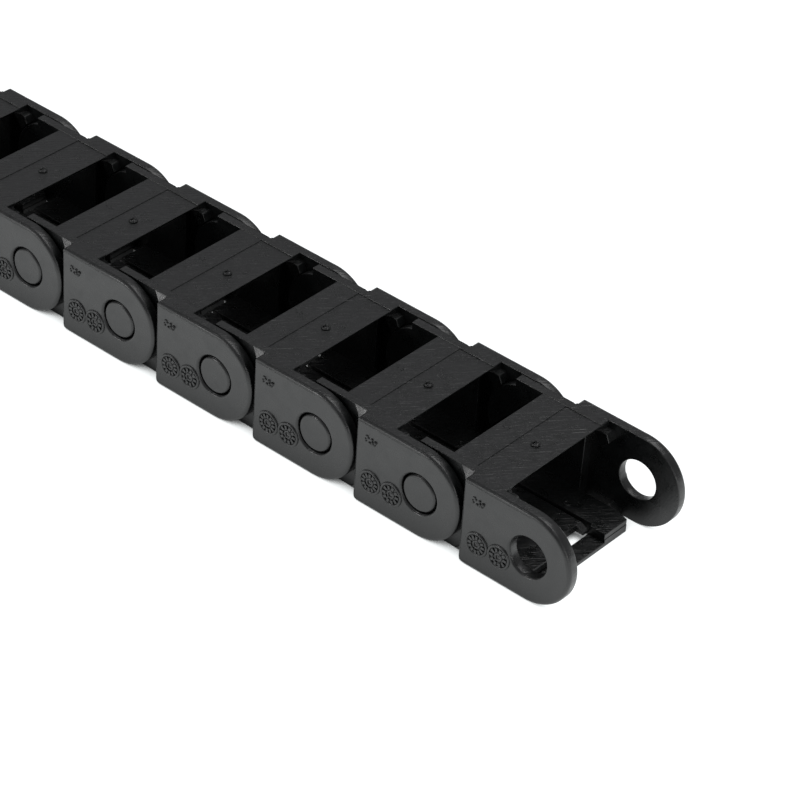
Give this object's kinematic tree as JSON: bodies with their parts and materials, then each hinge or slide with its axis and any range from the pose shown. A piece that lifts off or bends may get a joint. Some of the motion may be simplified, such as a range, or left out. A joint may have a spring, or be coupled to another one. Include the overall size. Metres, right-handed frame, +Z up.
{
  "type": "cable drag chain",
  "caption": "Straight length of black plastic cable drag chain: box links clipped together with a solid bar above, a slit bar below and pivots that bend one way.",
  "frame": {"origin": "middle of the straight chain, on the surface it lies on", "axes": "+X along the chain towards the open fork end, +Y across it, +Z up towards the solid crossbars, on the inside of the bend"},
  "size_m": [0.294, 0.027, 0.015],
  "materials": {
    "link_plastic": "matte moulded, black glass-filled nylon"
  },
  "bodies": {
    "link_01": {"link_01": "link_plastic"},
    "link_02": {"link_02": "link_plastic"},
    "link_03": {"link_03": "link_plastic"},
    "link_04": {"link_04": "link_plastic"},
    "link_05": {"link_05": "link_plastic"},
    "link_06": {"link_06": "link_plastic"},
    "link_07": {"link_07": "link_plastic"},
    "link_08": {"link_08": "link_plastic"},
    "link_09": {"link_09": "link_plastic"},
    "link_10": {"link_10": "link_plastic"},
    "link_11": {"link_11": "link_plastic"},
    "link_12": {"link_12": "link_plastic"},
    "link_13": {"link_13": "link_plastic"},
    "link_14": {"link_14": "link_plastic"}
  },
  "joints": [
    {"name": "joint_01", "type": "hinge", "parent": "link_01", "child": "link_02", "pos_m": [0.11955, 0, 0.0075], "axis": [0, 1, 0], "range_deg": [0, 24.05]},
    {"name": "joint_02", "type": "hinge", "parent": "link_02", "child": "link_03", "pos_m": [0.09955, 0, 0.0075], "axis": [0, 1, 0], "range_deg": [0, 24.05]},
    {"name": "joint_03", "type": "hinge", "parent": "link_03", "child": "link_04", "pos_m": [0.07955, 0, 0.0075], "axis": [0, 1, 0], "range_deg": [0, 24.05]},
    {"name": "joint_04", "type": "hinge", "parent": "link_04", "child": "link_05", "pos_m": [0.05955, 0, 0.0075], "axis": [0, 1, 0], "range_deg": [0, 24.05]},
    {"name": "joint_05", "type": "hinge", "parent": "link_05", "child": "link_06", "pos_m": [0.03955, 0, 0.0075], "axis": [0, 1, 0], "range_deg": [0, 24.05]},
    {"name": "joint_06", "type": "hinge", "parent": "link_06", "child": "link_07", "pos_m": [0.01955, 0, 0.0075], "axis": [0, 1, 0], "range_deg": [0, 24.05]},
    {"name": "joint_07", "type": "hinge", "parent": "link_07", "child": "link_08", "pos_m": [-0.00045, 0, 0.0075], "axis": [0, 1, 0], "range_deg": [0, 24.05]},
    {"name": "joint_08", "type": "hinge", "parent": "link_08", "child": "link_09", "pos_m": [-0.02045, 0, 0.0075], "axis": [0, 1, 0], "range_deg": [0, 24.05]},
    {"name": "joint_09", "type": "hinge", "parent": "link_09", "child": "link_10", "pos_m": [-0.04045, 0, 0.0075], "axis": [0, 1, 0], "range_deg": [0, 24.05]},
    {"name": "joint_10", "type": "hinge", "parent": "link_10", "child": "link_11", "pos_m": [-0.06045, 0, 0.0075], "axis": [0, 1, 0], "range_deg": [0, 24.05]},
    {"name": "joint_11", "type": "hinge", "parent": "link_11", "child": "link_12", "pos_m": [-0.08045, 0, 0.0075], "axis": [0, 1, 0], "range_deg": [0, 24.05]},
    {"name": "joint_12", "type": "hinge", "parent": "link_12", "child": "link_13", "pos_m": [-0.10045, 0, 0.0075], "axis": [0, 1, 0], "range_deg": [0, 24.05]},
    {"name": "joint_13", "type": "hinge", "parent": "link_13", "child": "link_14", "pos_m": [-0.12045, 0, 0.0075], "axis": [0, 1, 0], "range_deg": [0, 24.05]}
  ]
}
